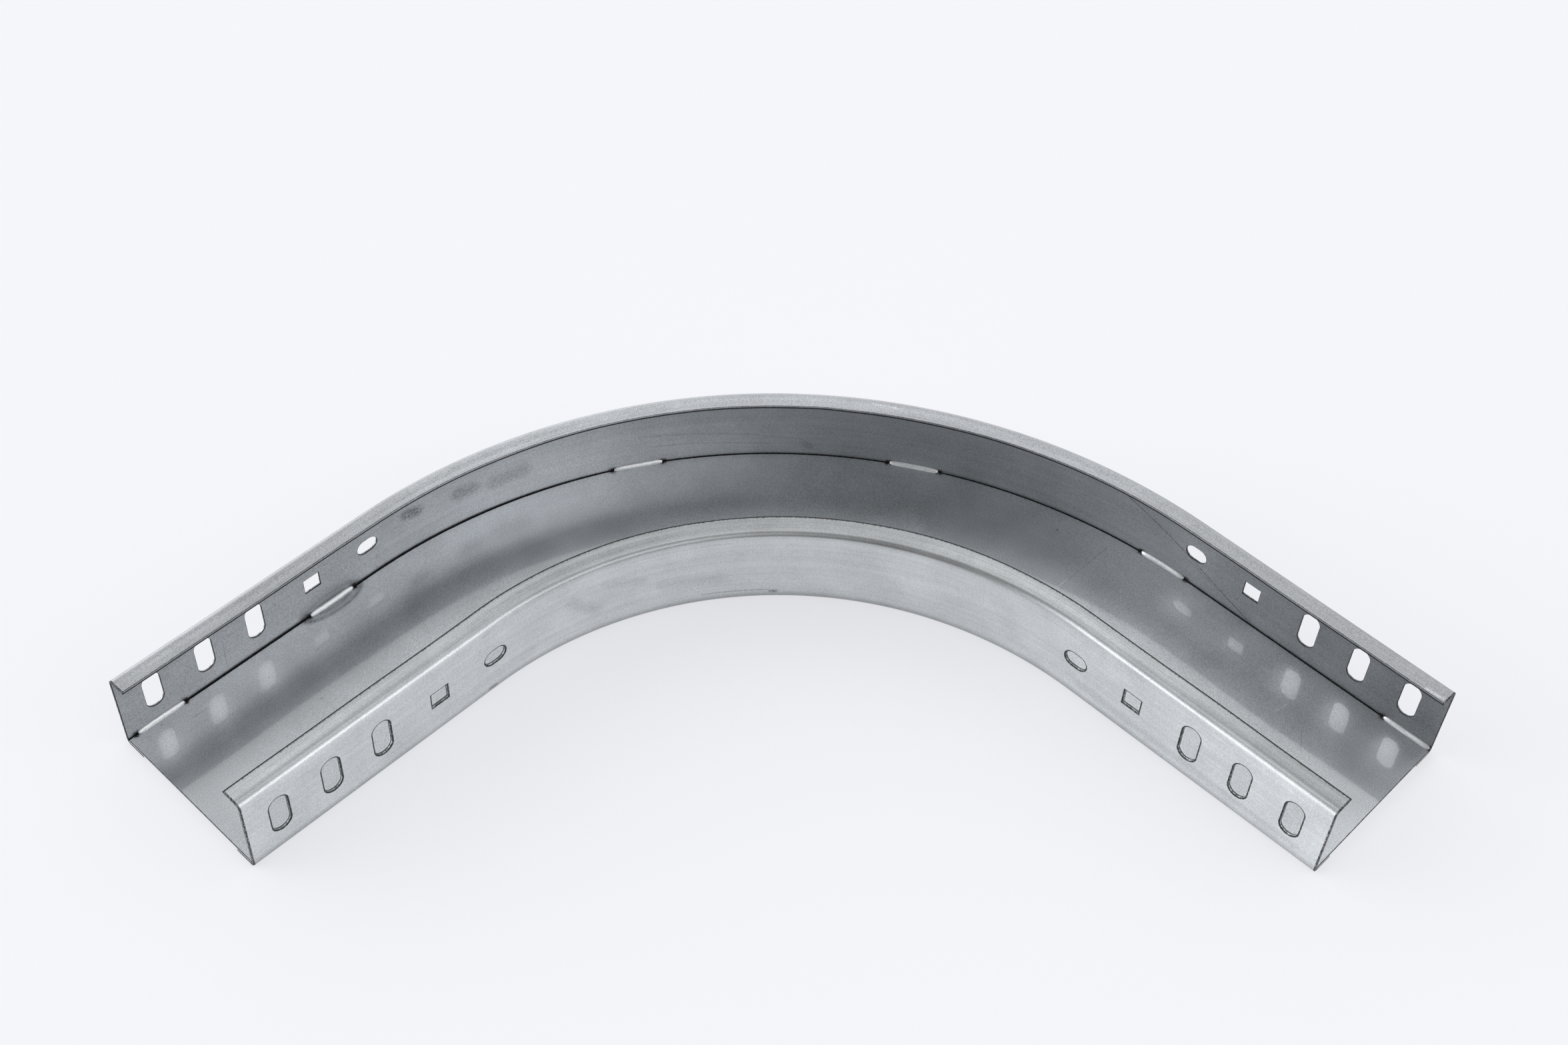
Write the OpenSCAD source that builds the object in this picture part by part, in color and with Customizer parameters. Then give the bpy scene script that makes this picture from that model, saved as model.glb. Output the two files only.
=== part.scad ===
// Flat 90 degree bend of solid-bottom cable tray, open on top.
// A bent floor plate lies on the ledges of two folded side rails, and short fillet welds in the
// inside corners hold the three sheets together.

/* [Tray] */
// Overall width across the two side rails
tray_w = 100; // [60:1:300]
// Overall height of the side rails
tray_h = 50; // [45:1:100]
// Radius of the bend, to the outer face of the inner side rail
bend_r = 200; // [120:1:500]
// Length of the straight leg at each end of the bend
leg_len = 150; // [150:1:300]

/* [Sheet metal] */
// Thickness of the side rails
rail_t = 1.5; // [0.8:0.1:3]
// Thickness of the floor plate
floor_t = 1.5; // [0.8:0.1:3]
// Inside radius of the folds in the side rails
fold_r = 1.2; // [0.5:0.1:4]
// Width of the lip that is folded inwards at the top of a side rail
lip_w = 12; // [8:0.5:25]
// Width of the ledge that is folded inwards under the floor plate
ledge_w = 13; // [8:0.5:25]
// Gap between an edge of the floor plate and the fold beside it
floor_gap = 0.1; // [0:0.1:1]

/* [Coupling slots] */
// Height of the centre line of all holes above the underside of the tray
hole_z = 25.5; // [22:0.5:28]
// Distance from the end of a leg to the centre of its first upright slot
slot_end = 19; // [10:1:30]
// Number of upright slots in each leg of a side rail
slot_count = 3; // [1:1:4]
// Distance between the centres of the upright slots
slot_pitch = 30; // [16:1:40]
// Width of an upright slot
slot_w = 10; // [6:0.5:14]
// Height of an upright slot
slot_h = 23.5; // [16:0.5:30]

/* [Square and oblong holes] */
// Distance from the last upright slot to the square hole
square_pitch = 35; // [20:1:50]
// Side of the square hole
square_w = 9.5; // [6:0.5:14]
// Distance from the square hole to the oblong hole
oblong_pitch = 35; // [20:1:50]
// Length of the oblong hole
oblong_len = 12.5; // [11:0.5:24]
// Height of the oblong hole
oblong_h = 9; // [5:0.5:10.5]

/* [Welds] */
// Length of a weld bead
weld_len = 27; // [10:1:40]
// Leg of the fillet that a weld bead makes in its corner
weld_leg = 2; // [1.6:0.1:4]
// Distances of the welds on the first leg from its end
first_leg_welds = [19, 123]; // [14:1:150]
// Angles of the welds round the bend, from the first leg
bend_welds = [30, 59, 87]; // [0:1:90]
// Distance of the weld on the second leg from its end
second_leg_weld = 14; // [14:1:150]

/* [Hidden] */
// Angle of the bend, from one leg to the other
turn = 90;
// Outside radius of the folds
fold_out = fold_r + rail_t;
// Radius of the outer face of the outer side rail
outer_r = bend_r + tray_w;
// Radii of the faces of the two webs inside the tray
inner_web_r = bend_r + rail_t;
outer_web_r = outer_r - rail_t;
// Distance of the floor plate's edges from those faces
floor_inset = fold_r + floor_gap;
// Height of the top of the floor plate
floor_top = rail_t + floor_t;
// Distances of the square and the oblong hole from the end of a leg
square_at = slot_end + (slot_count - 1) * slot_pitch + square_pitch;
oblong_at = square_at + oblong_pitch;
// Length of a hole's cutter, well past both faces of a web
cut_len = 2 * lip_w;
// Distance from the bend's centre to the middle of the tray's footprint, along X and along Y
mid = (outer_r - leg_len) / 2;
// Number of welds along each side rail
bend_weld_count = len(bend_welds);
leg_weld_count = len(first_leg_welds);
weld_count = leg_weld_count + bend_weld_count + 1;
// Half the width of the bar that a weld bead is cut to, past the bead on all sides
bar_w = 2 * weld_leg;
// Colours of the sheet and of the weld metal
sheet_colour = [0.62, 0.64, 0.66];
weld_colour = [0.85, 0.86, 0.87];
// Facets of a full turn: of small rounds, and of the bend, which the welds have to meet
$fn = 96;
bend_fn = 192;

// Carries a section along the first leg, round the bend and along the second leg.
// The section's X is the distance from the bend's centre, and its Y is the height.
module sweep() {
    translate([-leg_len, 0, 0])
        rotate([90, 0, 90])
            linear_extrude(leg_len)
                children();
    rotate_extrude(angle = turn, $fn = bend_fn)
        children();
    rotate([90, 0, 0])
        linear_extrude(leg_len)
            children();
}

// Moves the tray from the bend's centre to the middle of its footprint
module centred() {
    translate([-mid, -mid, 0])
        children();
}

// Draws its children on the first leg and, mirrored, on the second leg
module on_both_legs() {
    children();
    mirror([1, -1, 0])
        children();
}

// Puts its children on the first leg at a distance from its end, and past the leg on round the bend
module at_distance(along, r) {
    past = max(along - leg_len, 0);
    rotate(-past / r * 180 / PI)
        translate([min(along, leg_len) - leg_len, 0, 0])
            children();
}

// Quarter ring of a fold, round the origin, in the lower left quarter
module fold_section() {
    intersection() {
        difference() {
            circle(fold_out);
            circle(fold_r);
        }
        translate([-fold_out, -fold_out])
            square(fold_out);
    }
}

// Section of a side rail: web, lip and ledge, with the web's outer face at X = 0
module rail_section() {
    translate([0, fold_out])
        square([rail_t, tray_h - 2 * fold_out]);
    translate([fold_out, tray_h - rail_t])
        square([lip_w - fold_out, rail_t]);
    translate([fold_out, 0])
        square([ledge_w - fold_out, rail_t]);
    translate([fold_out, fold_out])
        fold_section();
    translate([fold_out, tray_h - fold_out])
        mirror([0, 1])
            fold_section();
}

// Cutter for an upright slot with round ends, through a web that faces along Y
module slot_cutter(height, width) {
    end = (height - width) / 2;
    rotate([90, 0, 0])
        linear_extrude(cut_len, center = true) {
            square([width, 2 * end], center = true);
            for (side = [-1, 1])
                translate([0, side * end])
                    circle(d = width);
        }
}

// Cutters for the holes in both legs of a side rail whose web stands at radius r
module rail_holes(r) {
    on_both_legs() {
        for (i = [0:slot_count - 1])
            at_distance(slot_end + i * slot_pitch, r)
                translate([0, r, hole_z])
                    slot_cutter(slot_h, slot_w);
        at_distance(square_at, r)
            translate([0, r, hole_z])
                cube([square_w, cut_len, square_w], center = true);
        at_distance(oblong_at, r)
            translate([0, r, hole_z])
                rotate([0, 90, 0])
                    slot_cutter(oblong_len, oblong_h);
    }
}

// Section of a weld bead: the quarter disc on the floor plate and against the web at radius r.
// The bead lies on the far side of the web where side is 1, and on the near side where it is -1.
module bead_section(r, side) {
    translate([r, floor_top])
        intersection() {
            circle(weld_leg);
            translate([min(side, 0) * weld_leg, 0])
                square(weld_leg);
        }
}

// Bar across a corner that gives a bead its length along X and its sloping ends
module bead_bar() {
    long = weld_len / 2 + bar_w;
    short = weld_len / 2 - bar_w;
    rotate([90, 0, 0])
        linear_extrude(2 * bar_w, center = true)
            polygon([[-long, -bar_w], [long, -bar_w], [short, bar_w], [-short, bar_w]]);
}

// Weld bead on the first leg, its middle at a distance from the end of the leg
module leg_weld(along, r, side) {
    intersection() {
        translate([-leg_len, 0, 0])
            rotate([90, 0, 90])
                linear_extrude(leg_len)
                    bead_section(r, side);
        translate([along - leg_len, r, floor_top])
            bead_bar();
    }
}

// Weld bead in the bend, its middle at an angle from the first leg
module bend_weld(angle, r, side) {
    intersection() {
        rotate(-turn / 2)
            rotate_extrude(angle = 2 * turn, $fn = bend_fn)
                bead_section(r, side);
        rotate(-angle)
            translate([0, r, floor_top])
                bead_bar();
    }
}

// Weld bead number i against the web at radius r, counted from the end of the first leg
module weld_bead(i, r, side) {
    bend_i = i - leg_weld_count;
    color(weld_colour)
        centred() {
            if (bend_i <= 0)
                leg_weld(first_leg_welds[i - 1], r, side);
            else if (bend_i <= bend_weld_count)
                bend_weld(bend_welds[bend_i - 1], r, side);
            else
                mirror([1, -1, 0])
                    leg_weld(second_leg_weld, r, side);
        }
}

module floor_plate() {
    color(sheet_colour)
        centred()
            sweep()
                translate([inner_web_r + floor_inset, rail_t])
                    square([outer_web_r - inner_web_r - 2 * floor_inset, floor_t]);
}

module outer_side_rail() {
    color(sheet_colour)
        centred()
            difference() {
                sweep()
                    translate([outer_r, 0])
                        mirror([1, 0])
                            rail_section();
                rail_holes(outer_r);
            }
}

module inner_side_rail() {
    color(sheet_colour)
        centred()
            difference() {
                sweep()
                    translate([bend_r, 0])
                        rail_section();
                rail_holes(bend_r);
            }
}

module outer_weld(i) {
    weld_bead(i, outer_web_r, -1);
}

module inner_weld(i) {
    weld_bead(i, inner_web_r, 1);
}

floor_plate();
outer_side_rail();
inner_side_rail();
for (i = [1:weld_count]) {
    outer_weld(i);
    inner_weld(i);
}
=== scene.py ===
"""Looks of a flat cable tray bend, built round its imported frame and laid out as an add-on.

The tray is a bent floor plate between two folded side rails, held by short weld beads. Each sheet is two
faces over one grid, stations along the tray by points across the sheet, and each hole is a set of rings
between those two faces.
"""

import math

import bpy
import numpy as np
from bpy.props import FloatProperty, FloatVectorProperty, PointerProperty
from mathutils import Euler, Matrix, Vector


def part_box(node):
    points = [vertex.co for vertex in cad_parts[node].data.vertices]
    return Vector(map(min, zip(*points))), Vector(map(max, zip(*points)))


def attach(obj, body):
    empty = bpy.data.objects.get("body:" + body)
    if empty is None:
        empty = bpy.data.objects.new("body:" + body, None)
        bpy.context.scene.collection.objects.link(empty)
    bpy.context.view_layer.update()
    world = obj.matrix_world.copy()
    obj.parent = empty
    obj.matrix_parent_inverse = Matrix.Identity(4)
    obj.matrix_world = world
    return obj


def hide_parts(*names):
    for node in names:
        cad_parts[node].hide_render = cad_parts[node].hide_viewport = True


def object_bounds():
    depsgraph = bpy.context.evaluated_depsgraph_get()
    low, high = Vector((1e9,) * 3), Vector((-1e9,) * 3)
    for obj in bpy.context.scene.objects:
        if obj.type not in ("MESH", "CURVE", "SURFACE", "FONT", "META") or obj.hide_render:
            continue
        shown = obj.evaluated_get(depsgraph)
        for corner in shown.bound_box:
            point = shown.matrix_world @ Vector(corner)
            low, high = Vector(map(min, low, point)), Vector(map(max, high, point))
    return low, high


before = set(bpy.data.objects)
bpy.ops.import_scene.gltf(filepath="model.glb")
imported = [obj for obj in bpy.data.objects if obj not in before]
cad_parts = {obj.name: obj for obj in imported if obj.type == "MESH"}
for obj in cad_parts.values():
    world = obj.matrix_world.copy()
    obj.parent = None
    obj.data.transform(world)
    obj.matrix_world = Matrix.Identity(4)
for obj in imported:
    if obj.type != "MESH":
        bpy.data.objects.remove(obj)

bl_info = {
    "name": "Cable Tray Bend",
    "version": (1, 0, 0),
    "blender": (4, 5, 0),
    "location": "3D View > Sidebar > Tray Bend",
    "description": "Makes the sheets, the weld beads and the stage of a cable tray bend",
    "category": "Object",
}

CAD_BOX = [list(corner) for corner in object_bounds()]
# Welds along each rail, and upright slots in each leg of a rail
WELDS, SLOTS = 6, 3
QUARTER = math.pi / 2
# Edges that turn by more than this many degrees are shaded sharp
SHARP_TURN = 50
# Longest steps between a sheet's points: along the tray, across a rail and across the plate
ALONG_STEP, RAIL_STEP, PLATE_STEP = 0.0018, 0.0011, 0.003
# In radii of a rounded edge: the points near it, and where the dark of shearing, partly painted shade, fades
# out on the faces
EDGE_POINTS = np.array([0, 0.12, 0.35, 1, 2, 2.8, 3.6])
SHEAR_FADE = (0.4, 1.8)
# The two lines of points round a sheet's rim: depth as a share of the thickness, and how far each is dark, as
# a torn edge and, on the deeper line, as painted shade under the edge. The end faces of the legs are one
# grey.
RIM_DEPTHS, RIM_CUTS, END_CUT = (0.5, 0.2), (0.9, 0.1), 0.45
# Rings of points in a punched hole, from the first face to the second: distance from the outline in widths
# of the punch's rim and in metres, depth as a share of the thickness, and how far the ring is a dark cut
# edge, with painted shade on the rolled rim and the wall
HOLE_RINGS = np.array([
    (1.8, 0, 0, 0),
    (1.35, 0, 0, 0),
    (1.2, 0, 0.01, 0.65),
    (0.35, 0, 0.08, 0.7),
    (0.15, 0, 0.15, 0.7),
    (0.05, 0, 0.22, 0.4),
    (0, 0, 0.3, 0.4),
    (0, 0, 0.6, 0.45),
    (0, 0, 0.66, 0.9),
    (0, 0, 0.93, 0.9),
    (0, 0.00004, 0.985, 0.9),
    (0, 0.00014, 1, 0.8),
    (0, 0.0003, 1, 0),
    (1, 0, 1, 0),
])
# Width of the band of rings round an upright slot and round the smaller holes
SLOT_BAND, SMALL_HOLE_BAND = 0.0025, 0.003
# Points across a fold
FOLD_POINTS = 10
# Depth of the long waves in a rail's web and in the plate
RAIL_WAVE, PLATE_WAVE = 0.00018, 0.00015
# Points along and across a weld bead, and how far it sinks into the sheets
BEAD_STATIONS, BEAD_POINTS, BEAD_SUNK = 61, 9, 0.00006
# Reach of the soot round the burnt end of a weld
SOOT_REACH = 0.0025
# Heat tint round the second weld: half its length along the tray and its reach from the corner
PLATE_TINT, WEB_TINT = (0.018, 0.0065), (0.017, 0.007)


def length(name, description, default):
    """A size in metres."""
    return FloatProperty(name=name, description=description, default=default, unit="LENGTH", precision=4)


def share(name, description, default):
    """A number from 0 to 1."""
    return FloatProperty(name=name, description=description, default=default, min=0, max=1, subtype="FACTOR")


def colour(name, description, default):
    """A linear colour."""
    return FloatVectorProperty(
        name=name, description=description, default=default, size=3, min=0, max=1, subtype="COLOR")


class TraySizes(bpy.types.PropertyGroup):
    """Sizes of the sheets, the holes and the weld beads"""

    width: length("Width", "Across the two side rails", 0.100)
    height: length("Height", "Height of the side rails", CAD_BOX[1][2])
    bend_radius: length("Bend radius", "From the bend's axis to the outer face of the inner rail", 0.200)
    leg_length: length("Leg length", "Straight leg at each end of the bend", 0.150)
    sheet: length("Sheet", "Thickness of all three sheets", 0.0015)
    edge_round: length("Edge round", "Radius of the sheets' sheared edges", 0.00025)
    fold_radius: length("Fold radius", "Outside radius of the folds in a rail", 0.0027)
    lip_width: length("Lip width", "Lip over the tray, from the web's outer face", 0.012)
    outer_lip_loss: length("Outer lip loss", "How much narrower the outer rail's lip is", 0.0006)
    lip_rise: length("Lip rise", "How far a lip springs back above its fold, at its tip", 0.0004)
    ledge_width: length("Ledge width", "Ledge under the plate, from the web's outer face", 0.013)
    plate_gap: length("Plate gap", "Gap between the plate's edges and the webs", 0.0003)
    wide_gap: length("Wide gap", "The same along the first leg's outer rail", 0.0006)
    hole_height: length("Hole height", "Centre line of the holes above the underside", 0.0255)
    slot_from_end: length("First slot", "From a leg's end to its first upright slot", 0.019)
    slot_pitch: length("Slot pitch", "Between the upright slots", 0.030)
    slot_width: length("Slot width", "Width of an upright slot", 0.010)
    slot_height: length("Slot height", "Height of an upright slot", 0.0235)
    square_from_end: length("Square hole", "From a leg's end to its square hole", 0.114)
    square_side: length("Square side", "Side of the square hole", 0.0095)
    oblong_from_end: length("Oblong hole", "From a leg's end to its oblong hole", 0.149)
    oblong_length: length("Oblong length", "Length of the oblong hole", 0.0125)
    oblong_height: length("Oblong height", "Height of the oblong hole", 0.009)
    punch_round: length("Punch round", "Width of the rolled-in rim that the punch leaves", 0.00075)
    bead_length: length("Bead length", "Length of a weld bead", 0.028)
    bead_on_web: length("Bead on web", "How far a bead climbs the web", 0.0018)
    bead_on_plate: length("Bead on plate", "How far a bead reaches over the plate", 0.0013)


class TrayFinish(bpy.types.PropertyGroup):
    """Colours and gloss"""

    plate_steel: colour("Plate steel", "Floor plate", (0.59, 0.615, 0.64))
    # Painted shade: the outer rail is the same steel as the inner one, made darker for the shade inside the
    # tray.
    outer_steel: colour("Outer rail steel", "Outer side rail", (0.445, 0.458, 0.476))
    inner_steel: colour("Inner rail steel", "Inner side rail", (0.62, 0.640, 0.653))
    plate_blur: share("Plate blur", "Roughness of the floor plate's metal at its first end", 0.305)
    plate_blur_gain: share("Plate blur gain", "How much rougher the plate is at its second end", 0.12)
    outer_blur: share("Outer rail blur", "Roughness of the outer rail's metal", 0.40)
    inner_blur: share("Inner rail blur", "Roughness of the inner rail's metal", 0.40)
    plate_film: share("Plate film", "Clear reflection of the rolled skin on the plate", 0.6)
    outer_film: share("Outer rail film", "The same on the outer rail", 0.25)
    inner_film: share("Inner rail film", "The same on the inner rail", 0.2)
    plate_metal: share("Plate metal", "Share of metal in the plate's skin, the rest being a matt haze", 0.92)
    outer_metal: share("Outer rail metal", "The same on the outer rail", 0.95)
    inner_metal: share("Inner rail metal", "The same on the inner rail", 0.85)
    # Also painted shade: the crevices at the webs' feet, the lips' lower edges and the holes' walls take this
    # colour.
    cut_edge_and_shade: colour("Cut edge", "Sheared edges, walls of the holes and the crevices", (0.05, 0.05, 0.053))
    # The weld's near-white is the metal's own colour with a painted highlight, so the bead shines all over.
    weld: colour("Weld", "Bright weld metal", (0.90, 0.91, 0.92))
    soot: colour("Soot", "Burnt ends of the welds", (0.012, 0.011, 0.012))
    ground: colour("Ground", "Paper that the tray lies on", (0.905, 0.915, 0.94))
    ground_lift: share("Ground lift", "How far the paper's own white shows through its shadows", 0.66)


class TrayLine:
    """The line that a sheet follows: a straight leg, a quarter bend and a straight leg.

    A place on the tray is given by its distance s along the line, its distance r from the bend's axis and
    its height z.
    """

    def __init__(self, sizes, radius):
        self.radius = radius
        self.leg = sizes.leg_length
        self.bend = radius * QUARTER
        self.total = 2 * self.leg + self.bend
        self.axis = CAD_BOX[1][0] - sizes.bend_radius - sizes.width

    def points(self, s, r, z):
        """A leg moves the point straight on, and the bend turns it about its axis.

        The angle is the distance into the bend over the line's radius, up to a quarter turn.
        """
        angle = np.clip((s - self.leg) / self.radius, 0, QUARTER)
        before = np.clip(self.leg - s, 0, None)
        after = np.clip(s - self.leg - self.bend, 0, None)
        x = self.axis - before + r * np.sin(angle)
        y = self.axis - after + r * np.cos(angle)
        return np.stack(np.broadcast_arrays(x, y, z), axis=-1)

    def station(self, point):
        """Distance along the line of a point of the tray."""
        x, y = point[0] - self.axis, point[1] - self.axis
        if x < 0:
            return self.leg + x
        if y < 0:
            return self.leg + self.bend - y
        return self.leg + self.radius * math.atan2(x, y)


def filled(marks, step):
    """All the marks, and even steps no longer than step between them."""
    marks = np.unique(np.round(marks, 7))
    counts = np.ceil(np.diff(marks) / step - 1e-6).astype(int)
    runs = [np.linspace(a, b, n, endpoint=False) for a, b, n in zip(marks, marks[1:], counts)]
    return np.concatenate(runs + [marks[-1:]])


def edge_marks(start, end, round_):
    """Close marks at both ends of a span, where a sheet's edge is rounded."""
    near = round_ * EDGE_POINTS
    return np.concatenate([start + near, end - near])


def grid_quads(index):
    """The quads of a grid of vertex numbers."""
    return np.stack([index[:-1, :-1], index[1:, :-1], index[1:, 1:], index[:-1, 1:]], axis=-1)


def frame_of(index, i0, i1, j0, j1):
    """The vertex numbers round a rectangle of a grid, in the order of a quad's corners."""
    return np.concatenate([index[i0:i1, j0], index[i1, j0:j1], index[i1:i0:-1, j1], index[i0, j1:j0:-1]])


def strip_quads(a, b):
    """The quads between two closed loops of vertex numbers."""
    return np.stack([a, np.roll(a, -1), np.roll(b, -1), b], axis=-1)


def outward(points, quads):
    """The same quads, all turned round if the closed surface they make has a negative volume."""
    a, b, c, d = (points[quads[:, k]] for k in range(4))
    volume = np.einsum("ij,ij", a, np.cross(b, c)) + np.einsum("ij,ij", a, np.cross(c, d))
    return quads if volume > 0 else quads[:, ::-1]


class Hole:
    """A punched hole: its centre, half the spine between its round ends, and its half width.

    A square has no spine. The window round the hole, a band's width from it, is where the sheet's grid stops.
    """

    def __init__(self, s, z, spine_s, spine_z, half, band, square=False):
        self.s, self.z, self.half, self.square = s, z, half, square
        self.spine = np.array([spine_s, spine_z])
        self.window = self.spine + half + band

    def ring(self, s, z, offset):
        """Points at an offset from the hole's outline, each in line with a point of the window round it."""
        from_centre = np.stack([s - self.s, z - self.z], axis=-1)
        spine = np.clip(from_centre, -self.spine, self.spine)
        out = from_centre - spine
        size = np.abs(out).max(-1) if self.square else np.linalg.norm(out, axis=-1)
        ring = spine + out / size[:, None] * (self.half + offset)
        return ring[:, 0] + self.s, ring[:, 1] + self.z


def sheet_surface(place, s, p, sizes, holes=(), height_to_p=None):
    """A sheet's two faces over stations s and points p across, a rim round them and a wall in each hole.

    place(s, p, depth) gives a point at a depth under the first face. Near an edge both faces dip by
    its radius along a quarter circle. In a hole, the rings go over a rolled-in rim, down the wall and out on
    the other face. Returns points, quads, each point's s, p and depth, and how dark it is as a sheared edge,
    with painted shade on the lower rim and in the holes.
    """
    thick, edge = sizes.sheet, sizes.edge_round
    to_edge = np.minimum(np.minimum(s - s[0], s[-1] - s)[:, None], np.minimum(p - p[0], p[-1] - p)[None, :])
    dip = edge - np.sqrt(edge**2 - np.clip(edge - to_edge, 0, edge) ** 2)
    shape = dip.shape
    along, across = (np.broadcast_to(v, shape) for v in (s[:, None], p[None, :]))
    # Dark at the sheared edges: the rough cut, with painted shade over the rounded edge.
    sheared = 1 - step_up(to_edge, SHEAR_FADE[0] * edge, SHEAR_FADE[1] * edge)
    first = np.arange(dip.size).reshape(shape)
    second = first + dip.size
    keep = np.ones((shape[0] - 1, shape[1] - 1), bool)

    whole = (0, shape[0] - 1, 0, shape[1] - 1)
    upper, lower = frame_of(first, *whole), frame_of(second, *whole)
    between = 2 * dip.size + np.arange(2 * len(upper)).reshape(2, -1)
    loops = [lower, *between, upper]
    quads = [strip_quads(a, b) for a, b in zip(loops, loops[1:])]
    on_rim = [np.tile(v.ravel()[upper], 2) for v in (along, across)]
    rim_depth, rim_cut = (np.repeat(v, len(upper)) for v in (thick * np.array(RIM_DEPTHS), RIM_CUTS))
    rim_cut = np.where((on_rim[0] == s[0]) | (on_rim[0] == s[-1]), END_CUT, rim_cut)
    stacks = [
        [along, across, dip, sheared],
        [along, across, thick - dip, sheared],
        [*on_rim, rim_depth, rim_cut],
    ]
    count = 2 * dip.size + between.size

    rim_widths, metres, ring_depth, ring_cut = HOLE_RINGS.T
    offsets = sizes.punch_round * rim_widths + metres
    for hole in holes:
        sides = [hole.s - hole.window[0], hole.s + hole.window[0]]
        levels = height_to_p(np.array([hole.z + hole.window[1], hole.z - hole.window[1]]))
        i0, i1 = np.abs(s[:, None] - sides).argmin(0)
        j0, j1 = np.abs(p[:, None] - levels).argmin(0)
        keep[i0:i1, j0:j1] = False
        upper, lower = frame_of(first, i0, i1, j0, j1), frame_of(second, i0, i1, j0, j1)
        loop_s, loop_p = along.ravel()[upper], across.ravel()[upper]
        rings = [hole.ring(loop_s, height_to_p(loop_p), offset) for offset in offsets]
        ring_s, ring_z = (np.stack(v) for v in zip(*rings))
        columns = (np.broadcast_to(v[:, None], ring_s.shape) for v in (thick * ring_depth, ring_cut))
        stacks.append([ring_s, height_to_p(ring_z), *columns])
        loops = [upper, *(count + np.arange(ring_s.size).reshape(ring_s.shape)), lower]
        quads += [strip_quads(a, b) for a, b in zip(loops, loops[1:])]
        count += ring_s.size
    quads += [grid_quads(first)[keep], grid_quads(second)[keep][:, ::-1]]

    along, across, depth, cut = (np.concatenate([np.ravel(stack[k]) for stack in stacks]) for k in range(4))
    points = place(along, across, depth)
    return points, outward(points, np.concatenate(quads)), along, across, depth, cut


def add_piece(name, points, quads, material, replaces, uv=None, marks=None):
    """A mesh object of quads on the tray's one body, with its UV map, marks and the nodes it stands for."""
    mesh = bpy.data.meshes.new(name)
    mesh.vertices.add(len(points))
    mesh.vertices.foreach_set("co", points.astype(np.float32).ravel())
    mesh.loops.add(quads.size)
    mesh.loops.foreach_set("vertex_index", quads.astype(np.int32).ravel())
    mesh.polygons.add(len(quads))
    mesh.polygons.foreach_set("loop_start", np.arange(0, quads.size, 4, dtype=np.int32))
    mesh.update(calc_edges=True)
    mesh.polygons.foreach_set("use_smooth", np.ones(len(quads), bool))
    mesh.set_sharp_from_angle(angle=math.radians(SHARP_TURN))
    if uv is not None:
        layer = mesh.uv_layers.new(name="Along")
        layer.data.foreach_set("uv", uv[quads.ravel()].astype(np.float32).ravel())
    for mark, values in (marks or {}).items():
        mesh.attributes.new(mark, "FLOAT", "POINT").data.foreach_set("value", values.astype(np.float32))
    if mesh.validate():
        raise RuntimeError(f"{name} has faulty faces")
    obj = bpy.data.objects.new(name, mesh)
    bpy.context.scene.collection.objects.link(obj)
    mesh.materials.append(material)
    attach(obj, "root")
    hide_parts(*replaces)


def hump(x, centre, width):
    """A smooth bump of height 1."""
    return np.exp(-(((x - centre) / width) ** 2))


def step_up(x, start, end):
    """0 before start, 1 after end, and a smooth slope between."""
    t = np.clip((x - start) / (end - start), 0, 1)
    return t * t * (3 - 2 * t)


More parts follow.
